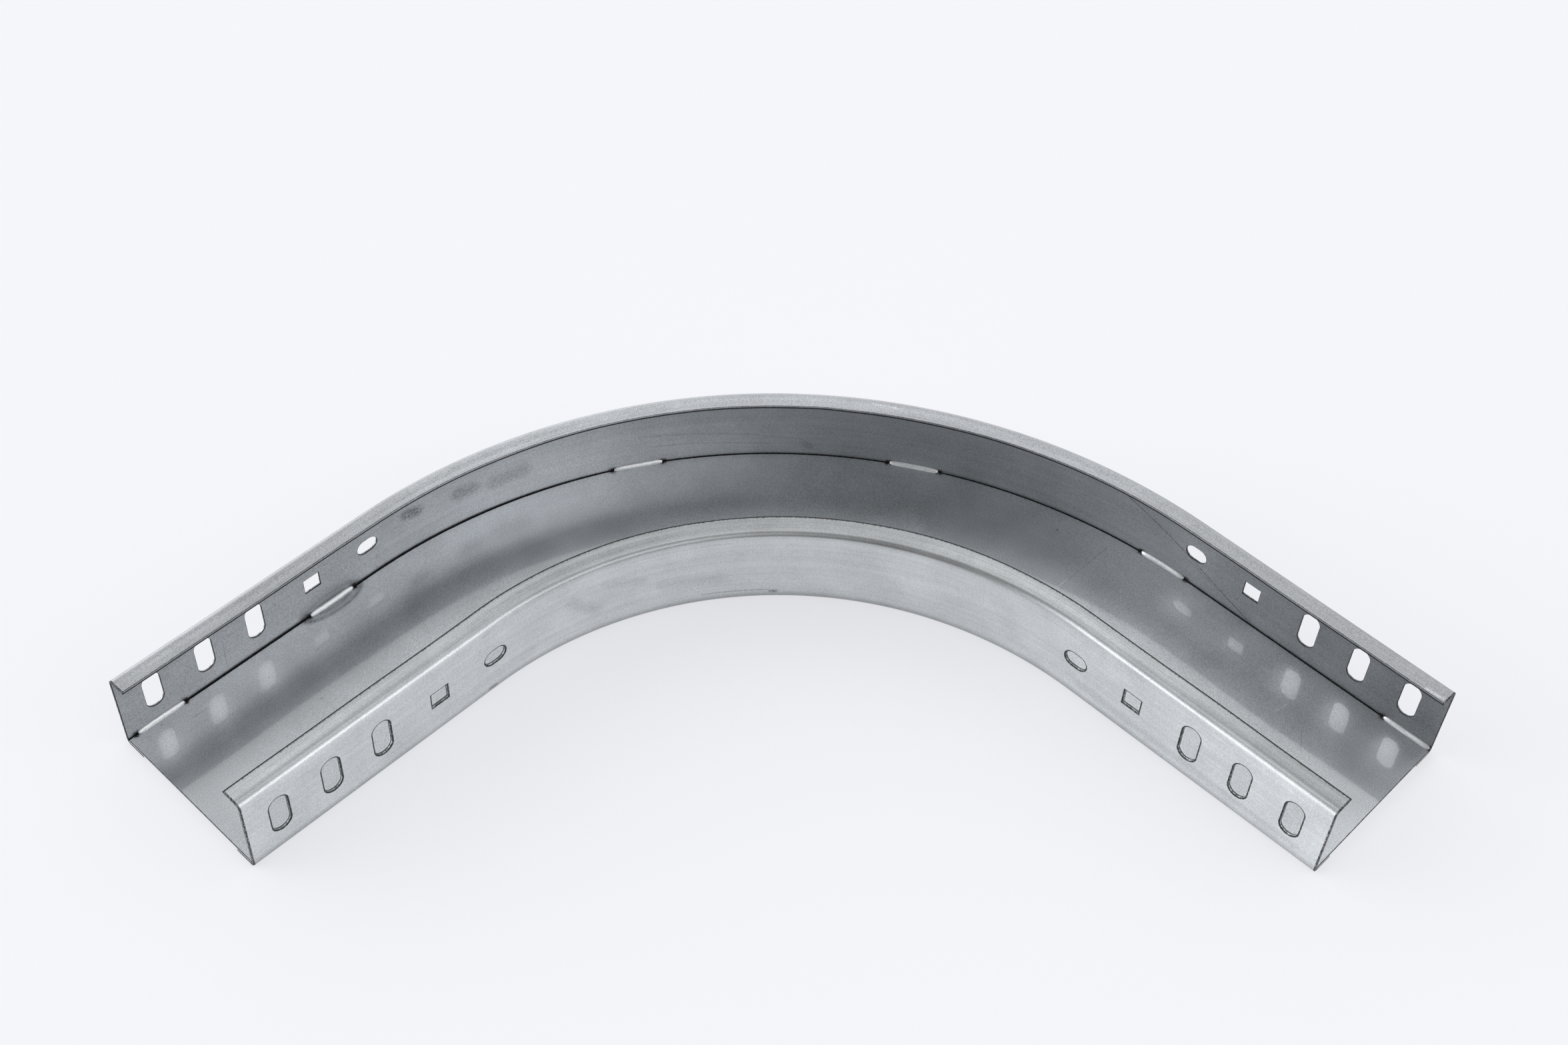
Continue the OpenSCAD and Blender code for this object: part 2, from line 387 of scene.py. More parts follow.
class SideRail:
    """A folded strip: lip, fold, web, fold and ledge, carried along the tray.

    The distance p across the strip's outside runs from the lip's tip to the ledge's tip. Each fold turns the
    strip by a quarter circle, so a point's place is the sum of the straight runs and the two arcs up to p.
    """

    def __init__(self, sizes, outer):
        self.sizes = sizes
        self.outer = outer
        self.face = sizes.bend_radius + (sizes.width if outer else 0)
        self.side = -1 if outer else 1
        self.line = TrayLine(sizes, self.face)
        self.lip = sizes.lip_width - sizes.fold_radius
        self.arc = sizes.fold_radius * QUARTER
        self.web = sizes.height - 2 * sizes.fold_radius
        self.ledge = sizes.ledge_width - sizes.fold_radius
        self.total = self.lip + self.web + self.ledge + 2 * self.arc

    def across(self, z):
        """Distance across the strip of a height on the web. The same sum gives the height of a distance."""
        return self.lip + self.arc + self.sizes.height - self.sizes.fold_radius - z

    def waves(self, s, p):
        """How far the sheet dents inwards: long shallow waves, none below the web's foot."""
        on_web = np.clip((self.total - p - self.ledge - self.arc) / self.web, 0, 1)
        wave = 0.5 + 0.5 * np.sin(s * 41 + (0 if self.outer else 2)) * np.cos(s * 17 + 1.3 + on_web)
        return RAIL_WAVE * wave * np.sin(math.pi * on_web) ** 2

    def lip_change(self, s):
        """How much wider the lip is than drawn: slow waves, and less on the outer rail but for a step."""
        slow = 0.00012 * np.sin(s * 37) + 0.00008 * np.sin(s * 83 + 1)
        if not self.outer:
            return slow
        step = 0.0007 * step_up(s, 0.405, 0.425) * (1 - step_up(s, 0.47, 0.56))
        return slow - self.sizes.outer_lip_loss + step

    def place(self, s, p, depth):
        """Straight runs and arcs up to p, then the depth along the inward normal, carried along the line."""
        sizes, fold = self.sizes, self.sizes.fold_radius
        first = np.clip((p - self.lip) / fold, 0, QUARTER)
        second = np.clip((p - self.lip - self.arc - self.web) / fold, 0, QUARTER)
        on_lip = np.clip(p, 0, self.lip)
        on_web = np.clip(p - self.lip - self.arc, 0, self.web)
        on_ledge = np.clip(p - self.lip - self.web - 2 * self.arc, 0, None)
        n = sizes.lip_width - on_lip - fold * np.sin(first) + fold * (1 - np.cos(second)) + on_ledge
        n = n + self.lip_change(s) * (1 - on_lip / self.lip)
        z = sizes.height - fold * (1 - np.cos(first)) - on_web - fold * np.sin(second)
        z = z - sizes.lip_rise * (on_lip / self.lip) * (1 - on_web / self.web)
        turn = first + second
        depth = depth + self.waves(s, p)
        n, z = n + np.sin(turn) * depth, z - np.cos(turn) * depth
        return self.line.points(s, self.face + self.side * n, z)

    def holes(self):
        """Three upright slots, a square and an oblong hole in each leg, counted from the leg's end."""
        k = self.sizes
        z, spine = k.hole_height, (k.slot_height - k.slot_width) / 2
        slots = [k.slot_from_end + i * k.slot_pitch for i in range(SLOTS)]
        oblong = (k.oblong_length - k.oblong_height) / 2
        for at in (lambda s: s, lambda s: self.line.total - s):
            yield from (Hole(at(s), z, 0, spine, k.slot_width / 2, SLOT_BAND) for s in slots)
            yield Hole(at(k.square_from_end), z, 0, 0, k.square_side / 2, SMALL_HOLE_BAND, square=True)
            yield Hole(at(k.oblong_from_end), z, oblong, 0, k.oblong_height / 2, SMALL_HOLE_BAND)

    def surface(self):
        """The rail's sheet over stations and points across that meet the windows round its holes."""
        k, holes = self.sizes, list(self.holes())
        s = np.concatenate([edge_marks(0, self.line.total, k.edge_round)]
                           + [[h.s - h.window[0], h.s + h.window[0]] for h in holes])
        levels = np.concatenate([[h.z - h.window[1], h.z + h.window[1]] for h in holes])
        folds = [self.lip, self.lip + self.arc, self.lip + self.arc + self.web, self.total - self.ledge]
        arcs = np.concatenate([np.linspace(a, b, FOLD_POINTS) for a, b in (folds[:2], folds[2:])])
        p = np.concatenate([edge_marks(0, self.total, k.edge_round), arcs, self.across(levels)])
        return sheet_surface(self.place, filled(s, ALONG_STEP), filled(p, RAIL_STEP), k, holes, self.across)


class FloorPlate:
    """The flat plate between the rails. Its points across run from the inner edge to the outer edge."""

    def __init__(self, sizes):
        self.sizes = sizes
        self.line = TrayLine(sizes, sizes.bend_radius + sizes.width / 2)
        self.inner = sizes.bend_radius + sizes.sheet + sizes.plate_gap
        self.span = sizes.width - 2 * (sizes.sheet + sizes.plate_gap)
        self.top = 2 * sizes.sheet

    def outer_gap(self, s):
        """How much the outer edge draws back: along the first leg and into the bend."""
        extra = self.sizes.wide_gap - self.sizes.plate_gap
        return extra * step_up(s, 0.01, 0.05) * (1 - step_up(s, 0.20, 0.30))

    def place(self, s, p, depth):
        """Radius by p, stretched to the outer edge. Height by the depth under the top, with shallow waves.

        Over a fold the plate is thinner by the height of the fold's inside, a quarter circle.
        """
        k = self.sizes
        r = self.inner + p * (1 - self.outer_gap(s) / self.span)
        fold = k.fold_radius - k.sheet
        to_web = np.minimum(r - k.bend_radius, k.bend_radius + k.width - r) - k.sheet
        depth = depth * (1 - (fold - np.sqrt(fold**2 - np.clip(fold - to_web, 0, fold) ** 2)) / k.sheet)
        middle = np.sin(math.pi * np.clip(p / self.span, 0, 1))
        wave = PLATE_WAVE * middle * (np.sin(s * 29 + 0.6) + 0.6 * np.sin(s * 53 + p * 40))
        return self.line.points(s, r, self.top - depth + wave)

    def surface(self):
        """The plate's sheet, with closer points near its outer edge."""
        k = self.sizes
        s = filled(edge_marks(0, self.line.total, k.edge_round), ALONG_STEP)
        near = self.span - np.linspace(0.001, 0.012, 12)
        p = filled(np.concatenate([edge_marks(0, self.span, k.edge_round), near]), PLATE_STEP)
        return sheet_surface(self.place, s, p, k)


def middle_of(box):
    """Middle of a box that is given by its lowest and highest corners."""
    return [sum(c) / 2 for c in zip(*box)]


def weld_ends(sizes):
    """Ends of the weld beads along the outer rail, as points in the corner of the web and the plate."""
    line = TrayLine(sizes, sizes.bend_radius + sizes.width)
    centres = [line.station(middle_of(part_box(f"outer_weld_{i + 1}"))) for i in range(WELDS)]
    ends = np.add.outer(centres, np.array([-0.5, 0.5]) * sizes.bead_length).ravel()
    return line.points(ends, line.radius - sizes.sheet, 2 * sizes.sheet)


def soot_at(points, ends):
    """Soot round the burnt ends of the welds: the highest of one bump over each end."""
    distance = np.linalg.norm(points[:, None, :] - ends[None, :, :], axis=-1)
    return hump(distance, 0, SOOT_REACH).max(1)


def round_second_weld(line, ends, s, from_corner, tint):
    """Distance from the middle of the second weld, counted so that it is 1 at the edge of its heat-tinted
    ring.
    """
    middle = (ends[2] + ends[3]) / 2
    return np.hypot((s - line.station(middle)) / tint[0], from_corner / tint[1])


class Tree:
    """Makes and links the nodes of a shader tree."""

    def __init__(self, tree):
        self.tree = tree

    def add(self, kind, settings=None, **inputs):
        """A node of that kind. An output given as an input is linked, and anything else is set."""
        node = self.tree.nodes.new(kind)
        for name, value in (settings or {}).items():
            setattr(node, name, value)
        for name, value in inputs.items():
            key = int(name[1:]) if name[0] == "i" and name[1:].isdigit() else name.replace("_", " ")
            self.put(node.inputs[key], value)
        return node

    def put(self, socket, value):
        """Links a socket to another, or sets it."""
        if isinstance(value, bpy.types.NodeSocket):
            self.tree.links.new(value, socket)
        else:
            socket.default_value = value

    def math(self, operation, a, b=0.0, clamp=False):
        """One step of arithmetic."""
        return self.add("ShaderNodeMath", {"operation": operation, "use_clamp": clamp}, i0=a, i1=b).outputs[0]

    def vector(self, operation, a, b=(0, 0, 0)):
        """One step of vector arithmetic."""
        node = self.add("ShaderNodeVectorMath", {"operation": operation}, i0=a, i1=b)
        return node.outputs["Value" if operation in ("DOT_PRODUCT", "LENGTH") else "Vector"]

    def ramp(self, value, low, high, start=0.0, end=1.0):
        """A value brought smoothly from one range to another."""
        node = self.add("ShaderNodeMapRange", {"interpolation_type": "SMOOTHSTEP"})
        for socket, given in zip(node.inputs, (value, low, high, start, end)):
            self.put(socket, given)
        return node.outputs[0]

    def noise(self, vector, scale, detail=2.0, roughness=0.5):
        """Noise over a vector, from 0 to 1."""
        node = self.add("ShaderNodeTexNoise", Vector=vector, Scale=scale, Detail=detail, Roughness=roughness)
        return node.outputs[0]

    def swing(self, noise, depth):
        """Noise brought round 0, times a depth."""
        return self.math("MULTIPLY", self.math("SUBTRACT", noise, 0.5), depth)

    def stretched(self, vector, scale):
        """A vector with its own scale along each axis."""
        return self.add("ShaderNodeMapping", Vector=vector, Scale=scale).outputs[0]

    def scaled(self, vector, factor):
        """A vector or a colour times a number."""
        return self.add("ShaderNodeVectorMath", {"operation": "SCALE"}, i0=vector, Scale=factor).outputs[0]

    def mix(self, amount, a, b):
        """A colour between two colours."""
        node = self.add("ShaderNodeMix", {"data_type": "RGBA"})
        for key, value in ((0, amount), (6, a), (7, b)):
            self.put(node.inputs[key], value)
        return node.outputs[2]

    def attribute(self, name):
        """A mark that the piece's mesh carries."""
        return self.add("ShaderNodeAttribute", {"attribute_name": name}).outputs["Fac"]

    def coordinates(self, kind):
        """The place that is shaded, in the coordinates of that kind."""
        return self.add("ShaderNodeTexCoord").outputs[kind]

    def group(self, name, **inputs):
        """One of the shared node groups."""
        return self.add("ShaderNodeGroup", {"node_tree": bpy.data.node_groups[name]}, **inputs)


def node_group(name, inputs, outputs):
    """A new node group with sockets of the types given by their names. Returns its tree."""
    group = bpy.data.node_groups.new(name, "ShaderNodeTree")
    for side, sockets in (("INPUT", inputs), ("OUTPUT", outputs)):
        for socket, kind in sockets.items():
            group.interface.new_socket(socket, in_out=side, socket_type=f"NodeSocket{kind}")
    return Tree(group)


def rolled_group():
    """Node group: marks of rolling along the sheet, blotches and a peppery grain.

    Streaks are noise over the UV map, drawn out along the tray. Blotches and grain are noise over Object
    coordinates.
    """
    t = node_group("Rolled Sheet", {"Streak Depth": "Float", "Grain Depth": "Float"},
                   {"Tone": "Float", "Blur": "Float", "Height": "Float"})
    given, out = t.add("NodeGroupInput").outputs, t.add("NodeGroupOutput").inputs
    uv, body = t.coordinates("UV"), t.coordinates("Object")
    streak = t.noise(t.stretched(uv, (9, 1500, 1)), 1.0, 4.0, 0.6)
    broad = t.noise(t.stretched(uv, (5, 260, 1)), 1.0, 3.0, 0.55)
    grain = t.noise(body, 1900.0, 1.5, 0.6)
    lines = t.math("ADD", t.swing(streak, given["Streak Depth"]), t.swing(broad, given["Streak Depth"]))
    pepper = t.swing(grain, given["Grain Depth"])
    spots = t.swing(t.noise(body, 48.0, 3.0, 0.55), 0.36)
    t.put(out["Tone"], t.math("ADD", t.math("ADD", lines, pepper), t.math("ADD", spots, 1.0)))
    t.put(out["Blur"], t.math("ADD", t.math("MULTIPLY", lines, 0.15), t.math("MULTIPLY", spots, 0.12)))
    t.put(out["Height"], t.math("ADD", streak, t.math("MULTIPLY", grain, 0.6)))


def soot_group():
    """Node group: the mesh's soot mark, its edge ragged and with bright specks by noise over the body."""
    t = node_group("Ragged Soot", {}, {"Mask": "Float"})
    body = t.coordinates("Object")
    ragged = t.math("ADD", t.attribute("soot"), t.swing(t.noise(body, 900.0, 3.0), 0.9))
    mask = t.math("MULTIPLY", t.ramp(ragged, 0.25, 0.75), t.ramp(t.attribute("soot"), 0.03, 0.2))
    specks = t.ramp(t.noise(body, 1500.0, 1.0), 0.60, 0.68, 1.0, 0.1)
    t.put(t.add("NodeGroupOutput").inputs["Mask"], t.math("MULTIPLY", mask, specks))


def mark_group():
    """Node group: 1 on the line between two places of the UV map, falling to 0 at a width from it.

    The line's nearest point is its start plus the share of its length, 0 to 1, that lies under the place.
    """
    t = node_group("Line Mark", {"Start": "Vector", "End": "Vector", "Width": "Float"}, {"Mask": "Float"})
    given, out = t.add("NodeGroupInput").outputs, t.add("NodeGroupOutput").inputs
    run = t.vector("SUBTRACT", given["End"], given["Start"])
    here = t.vector("SUBTRACT", t.coordinates("UV"), given["Start"])
    part = t.math("DIVIDE", t.vector("DOT_PRODUCT", here, run), t.vector("DOT_PRODUCT", run, run), clamp=True)
    distance = t.vector("LENGTH", t.vector("SUBTRACT", here, t.scaled(run, part)))
    t.put(out["Mask"], t.ramp(t.math("DIVIDE", distance, given["Width"]), 0.2, 1.0, 1.0, 0.0))


# Lines and smudges on the sheets: station and distance across of both ends, half width in metres, darkening.
# A line with a negative darkening is a bright scratch, but the last one on the outer rail is a painted
# reflection on the lip near its second end.
PLATE_MARKS = (
    (0.4805, 0.0836, 0.4809, 0.0838, 0.0009, 0.7),
    (0.4983, 0.0477, 0.4992, 0.0560, 0.0004, -0.5),
    (0.4974, 0.0480, 0.4984, 0.0545, 0.0004, -0.4),
    (0.4983, 0.0477, 0.5047, 0.0878, 0.0004, 0.30),
    (0.6250, 0.0607, 0.6262, 0.0690, 0.0004, -0.5),
    (0.6407, 0.0609, 0.6480, 0.0500, 0.0003, 0.35),
    (0.3901, 0.0569, 0.4036, 0.0728, 0.0004, -0.25),
    (0.3880, 0.0580, 0.3985, 0.0695, 0.0003, -0.2),
    (0.1363, 0.0539, 0.1384, 0.0429, 0.0003, 0.25),
    (0.0305, 0.0858, 0.0383, 0.0860, 0.0004, 0.35),
    (0.0164, 0.0929, 0.0166, 0.0930, 0.0008, 0.5),
    (0.0450, 0.0745, 0.0452, 0.0746, 0.0006, 0.5),
    (0.0708, 0.0801, 0.0710, 0.0802, 0.0006, 0.5),
    (0.0808, 0.0518, 0.0818, 0.0518, 0.0006, 0.55),
    (0.0734, 0.0504, 0.0746, 0.0504, 0.0005, 0.4),
    (0.0724, 0.0472, 0.0734, 0.0472, 0.0005, 0.4),
    (0.0682, 0.0490, 0.0690, 0.0490, 0.0005, 0.4),
    (0.1046, 0.0638, 0.1054, 0.0638, 0.0006, 0.45),
)
OUTER_RAIL_MARKS = (
    (0.1745, 0.0306, 0.1805, 0.0322, 0.0060, 0.7),
    (0.2060, 0.0350, 0.2130, 0.0356, 0.0075, 0.45),
    (0.2270, 0.0385, 0.2420, 0.0375, 0.0085, 0.33),
    (0.5694, 0.0200, 0.6588, 0.0560, 0.0006, 0.65),
    (0.6131, 0.0410, 0.6640, 0.0570, 0.0004, 0.35),
    (0.3080, 0.0358, 0.3820, 0.0440, 0.0012, 0.2),
    (0.3160, 0.0451, 0.3800, 0.0500, 0.0008, 0.25),
    (0.3990, 0.0500, 0.4010, 0.0515, 0.0035, 0.3),
    (0.0596, 0.0340, 0.0590, 0.0540, 0.0004, 0.25),
    (0.4337, 0.0075, 0.4465, 0.0065, 0.0010, -0.35),
    # Painted reflection: a bright patch on the outer lip near its second end.
    (0.7600, 0.0020, 0.7690, 0.0026, 0.0012, -0.9),
)
INNER_RAIL_MARKS = (
    (0.1425, 0.0150, 0.1470, 0.0150, 0.0005, 0.6),
    (0.1440, 0.0570, 0.1475, 0.0572, 0.0016, 0.6),
    (0.3005, 0.0556, 0.3030, 0.0556, 0.0018, 0.7),
    (0.2650, 0.0540, 0.2990, 0.0545, 0.0009, 0.35),
    (0.2280, 0.0160, 0.2800, 0.0160, 0.0004, 0.3),
    (0.4300, 0.0185, 0.6142, 0.0185, 0.0004, 0.22),
    (0.1950, 0.0300, 0.2080, 0.0420, 0.0060, 0.16),
    (0.2150, 0.0260, 0.2330, 0.0330, 0.0050, 0.14),
    (0.2450, 0.0400, 0.2750, 0.0440, 0.0070, 0.15),
    (0.3700, 0.0380, 0.4100, 0.0300, 0.0080, -0.10),
    (0.0800, 0.0520, 0.1700, 0.0500, 0.0060, 0.10),
    (0.4700, 0.0500, 0.6000, 0.0520, 0.0050, 0.12),
)


def new_material(name):
    """A material with nodes. Returns it with its tree and the inputs of its shader."""
    material = bpy.data.materials.new(name)
    material.use_nodes = True
    return material, Tree(material.node_tree), material.node_tree.nodes["Principled BSDF"].inputs


def sheet_material(name, finish, part, grain, line_marks):
    """Satin steel under a clear rolled skin, with rolling marks, line marks, dark edges, a tone shift and
    soot.

    The dark edges are partly painted shade, the tone shift is painted light and shade besides the heat
    tinting, and one line mark is a painted reflection.
    """
    steel, film, metal = (getattr(finish, f"{part}_{what}") for what in ("steel", "film", "metal"))
    material, t, shader = new_material(name)
    rolled = t.group("Rolled Sheet", Grain_Depth=grain, Streak_Depth=t.attribute("streak")).outputs
    soot = t.group("Ragged Soot").outputs["Mask"]
    ragged = t.noise(t.coordinates("Object"), 800.0, 3.0)

    tone = rolled["Tone"]
    patchy = t.math("MULTIPLY", t.ramp(ragged, 0.3, 0.65, 0.3, 1.0), t.attribute("marked"))
    for u0, v0, u1, v1, width, darkening in line_marks:
        mark = t.group("Line Mark", Start=(u0, v0, 0), End=(u1, v1, 0), Width=width).outputs["Mask"]
        change = t.math("MULTIPLY", t.math("MULTIPLY", mark, patchy), darkening)
        tone = t.math("MULTIPLY", tone, t.math("SUBTRACT", 1.0, change))
    # Tone shift: painted light and shade, and the heat tint round the second weld.
    tone = t.math("MULTIPLY", tone, t.math("SUBTRACT", 1.0, t.math("MULTIPLY", t.attribute("tint"), 0.4)))

    # Dark cut edges, with painted shade in the crevices, under the lips' edges and in the holes.
    torn = t.math("ADD", t.attribute("cut"), t.swing(ragged, 0.9))
    edge = t.math("MULTIPLY", t.ramp(torn, 0.15, 0.7), t.ramp(t.attribute("cut"), 0.02, 0.15))
    clean = t.mix(edge, t.scaled(steel, tone), (*finish.cut_edge_and_shade, 1))
    t.put(shader["Base Color"], t.mix(soot, clean, (*finish.soot, 1)))
    dull = t.math("MAXIMUM", soot, edge)
    blurred = t.math("ADD", rolled["Blur"], t.attribute("blur"))
    t.put(shader["Roughness"], t.math("ADD", blurred, t.math("MULTIPLY", dull, 0.2), clamp=True))
    t.put(shader["Metallic"], t.math("SUBTRACT", metal, t.math("MULTIPLY", soot, 0.6)))
    t.put(shader["Coat Weight"], t.math("MULTIPLY", t.math("SUBTRACT", 1.0, dull), film))
    t.put(shader["Coat IOR"], 2.6)
    t.put(shader["Coat Roughness"], 0.07)
    bump = t.add("ShaderNodeBump", Strength=0.06, Distance=0.0001, Height=rolled["Height"])
    t.put(shader["Normal"], bump.outputs[0])
    return material


def weld_material(finish):
    """Bright bead, partly a painted highlight, mottled by noise, black where the mesh is marked with soot."""
    material, t, shader = new_material("Weld Metal")
    mottle = t.noise(t.coordinates("Object"), 850.0, 3.0)
    soot = t.group("Ragged Soot").outputs["Mask"]
    # Painted highlight: the bead's near-white colour stands for its reflection as well as its metal.
    bright = t.scaled(finish.weld, t.ramp(mottle, 0.3, 0.7, 0.84, 1.0))
    t.put(shader["Base Color"], t.mix(soot, bright, (*finish.soot, 1)))
    t.put(shader["Roughness"], t.ramp(mottle, 0.2, 0.8, 0.3, 0.4))
    t.put(shader["Metallic"], t.math("SUBTRACT", 0.5, t.math("MULTIPLY", soot, 0.4)))
    bump = t.add("ShaderNodeBump", Strength=0.1, Distance=0.0001, Height=mottle)
    t.put(shader["Normal"], bump.outputs[0])
    return material


def cap_quads(row):
    """The quads that close the end of a bead, between the two halves of its loop of vertex numbers."""
    half = len(row) // 2
    near, far = row[:half], row[::-1][:half]
    return np.stack([near[:-1], near[1:], far[1:], far[:-1]], axis=-1)


def bead_surface(line, station, side, sizes, gap, seed):
    """A weld bead: a flat fillet in a corner, carried along the line, rippled and blunt at both ends.

    Across, the fillet is a curve between the web and the plate, reach times the cosine and climb times the
    sine of the angle, each to the power 1.4. Along, both grow from the ends by a steep root and swing with
    the ripples.
    """
    rng = np.random.default_rng(seed)
    half = sizes.bead_length / 2
    a = half * np.sin(np.linspace(-QUARTER, QUARTER, BEAD_STATIONS))
    grow = np.sqrt(np.clip(1 - np.abs(a / half) ** 6, 0, 1)) * 0.97 + 0.03
    fine, slow = (np.sin(a / wave + rng.uniform(0, 6)) for wave in (0.0009, 0.0041))
    ripple = 1 + 0.012 * fine + 0.025 * slow
    angle = np.linspace(0, QUARTER, BEAD_POINTS)
    reach = (gap + sizes.bead_on_plate) * grow * ripple
    climb = sizes.bead_on_web * grow * (2 - ripple)
    sunk = np.full((len(a), 1), -BEAD_SUNK)
    n = np.concatenate([np.outer(reach, np.cos(angle) ** 1.4), sunk], axis=1)
    z = np.concatenate([np.outer(climb, np.sin(angle) ** 1.4), sunk], axis=1)
    corner = line.radius + side * sizes.sheet
    points = line.points(station + a[:, None], corner + side * n, 2 * sizes.sheet + z).reshape(-1, 3)
    index = np.arange(n.size).reshape(n.shape)
    around = grid_quads(np.concatenate([index, index[:, :1]], axis=1)).reshape(-1, 4)
    quads = np.concatenate([around, cap_quads(index[0]), cap_quads(index[-1])[:, ::-1]])
    soot = np.broadcast_to(step_up(np.abs(a), half - 0.0012, half - 0.0002)[:, None], n.shape).ravel()
    return points, outward(points, quads), soot


def plate_marks(plate, finish, ends, points, s, p, depth, cut):
    """What the plate's points carry for its material: dark sheared edges with painted shade, soot, tone
    shift, streaks, marked face and blur.

    The tone shift rings the second weld with its heat tinting, and lightens the plate late in the bend,
    painted light.
    """
    sheet = plate.sizes.sheet
    around = round_second_weld(plate.line, ends, s, plate.span - p, PLATE_TINT)
    rings = 1.3 * hump(around, 1, 0.10) + 0.9 * hump(around, 0.55, 0.07) + 0.7 * (around < 1)
    at_end = np.minimum(s, plate.line.total - s) < sheet
    return {
        "cut": cut * (1 - at_end * (depth > 0.3 * sheet)),
        "soot": soot_at(points, ends),
        # Heat tint round the second weld, and painted light late in the bend.
        "tint": rings - 0.4 * hump(s, 0.53, 0.08),
        "streak": np.full(len(s), 0.10),
        "marked": 1.0 * (depth < sheet / 2),
        "blur": finish.plate_blur + finish.plate_blur_gain * step_up(s, 0.15, 0.5),
    }


def rail_marks(rail, blur, ends, points, s, p, depth, cut):
    """What a rail's points carry for its material, as on the plate.

    The tone shift darkens the web's foot, painted shade. On the outer rail it also darkens the lip on the
    legs and the fold, painted shade, and the web's inside round the second weld, its heat tinting. There it
    darkens the web's inside from late in the bend on and at both ends, and lightens the web early in the
    bend, painted shade and light. On the inner rail it darkens the lip, more so in the bend and at its second
    end, and the fold in the bend, painted shade, and the lip beside the fold on the legs, a painted dark
    band. It lightens the lip late in the bend and the web's second end, painted light, and the fold on the
    legs, a painted highlight.
    """
    sheet = rail.sizes.sheet
    foot = rail.across(2 * sheet)
    base = rail.lip + rail.arc + rail.web
    from_end = np.minimum(s, rail.line.total - s)
    inside = depth > sheet / 2
    in_bend = step_up(from_end, 0.11, 0.21)
    on_leg = 1 - in_bend
    on_lip = 1 - step_up(p, rail.lip - 0.001, rail.lip + 0.001)
    fold = hump(p, rail.lip + 0.5 * rail.arc, 0.5 * rail.arc)
    # Painted shade at the web's foot.
    tint = 1.2 * step_up(p, base - 0.004, base + 0.002)
    if rail.outer:
        around = round_second_weld(rail.line, ends, s, foot - p, WEB_TINT)
        # Outer rail: painted shade on the lip on the legs and on the fold; then the heat tint round the
        # second weld.
        tint += 0.6 * on_lip * on_leg + 0.5 * fold
        tint += inside * (1.2 * (1 - step_up(around, 0.3, 1.0)) + 0.6 * hump(around, 1, 0.12))
        # Painted shade on the web's inside late in the bend and at both ends, painted light on it early in
        # the bend.
        tint += inside * (0.35 * step_up(s, 0.55, 0.65) - 0.5 * hump(s, 0.25, 0.06))
        tint += inside * 0.3 * (1 - step_up(from_end, 0, 0.07))
        # Outer rail: a painted shadow line along the lip's top, just inside its tip, where the burr is.
        painted_burr_shadow = 0.8 * hump(p, 0.0005, 0.00025)
        cut = np.where((p < 0.0012) & (depth < 0.3 * sheet), painted_burr_shadow, cut)
    else:
        # Inner rail: painted shade on the lip and the fold in the bend and on the lip, a painted highlight on
        # the fold on the legs.
        tint += np.maximum(0.5 * on_lip, 0.85 * fold) * in_bend + 0.2 * on_lip - 0.3 * fold * on_leg
        # A painted dark band on the lip beside the fold on the legs, and painted light on the lip late in the
        # bend.
        tint += 0.6 * hump(p, rail.lip - 0.0014, 0.0008) * on_leg - 0.4 * on_lip * hump(s, 0.42, 0.06)
        # Towards the second end, painted shade on the lip and painted light on the web.
        tint += step_up(s, rail.line.total - 0.12, rail.line.total - 0.02) * (0.9 * on_lip - 0.35)
        # Inner rail: a dark line along the lip's tip, its sheared edge with painted shade.
        cut = np.maximum(cut, 0.95 * ~inside * (1 - step_up(p, 0.0003, 0.0014)))
    rolled_in = 0.42 * (1 - step_up(from_end, 0.0006, 0.0009)) + 0.4 * hump(from_end, 0.0007, 0.00015)
    # Painted shade in the crevices on the web's inside, from just above the plate down.
    painted_crevice_shade = inside * step_up(p, foot - 0.0008, foot - 0.0001)
    return {
        "cut": np.maximum(np.maximum(cut, ~inside * rolled_in), painted_crevice_shade),
        "soot": inside * rail.outer * soot_at(points, ends),
        "tint": tint,
        "streak": 0.34 + 0.4 * on_lip,
        "marked": 1.0 * np.where(rail.outer & (p > rail.lip + rail.arc / 2), inside, ~inside),
        "blur": np.full(len(s), blur),
    }


class TrayOperator:
    """What the tray's operators share."""

    bl_options = {"REGISTER", "UNDO"}


class TRAY_OT_floor_plate(TrayOperator, bpy.types.Operator):
    """Make the bent floor plate"""

    bl_idname = "object.tray_floor_plate"
    bl_label = "Floor Plate"

    def execute(self, context):
        """Makes the sheet, its marks and its steel."""
        sizes, finish = context.scene.tray_sizes, context.scene.tray_finish
        plate = FloorPlate(sizes)
        points, quads, s, p, depth, cut = plate.surface()
        marks = plate_marks(plate, finish, weld_ends(sizes), points, s, p, depth, cut)
        material = sheet_material("Floor Plate Steel", finish, "plate", 1.2, PLATE_MARKS)
        add_piece("floor_plate_sheet", points, quads, material, ["floor_plate"],
                  np.stack([s, p], axis=-1), marks)
        return {"FINISHED"}


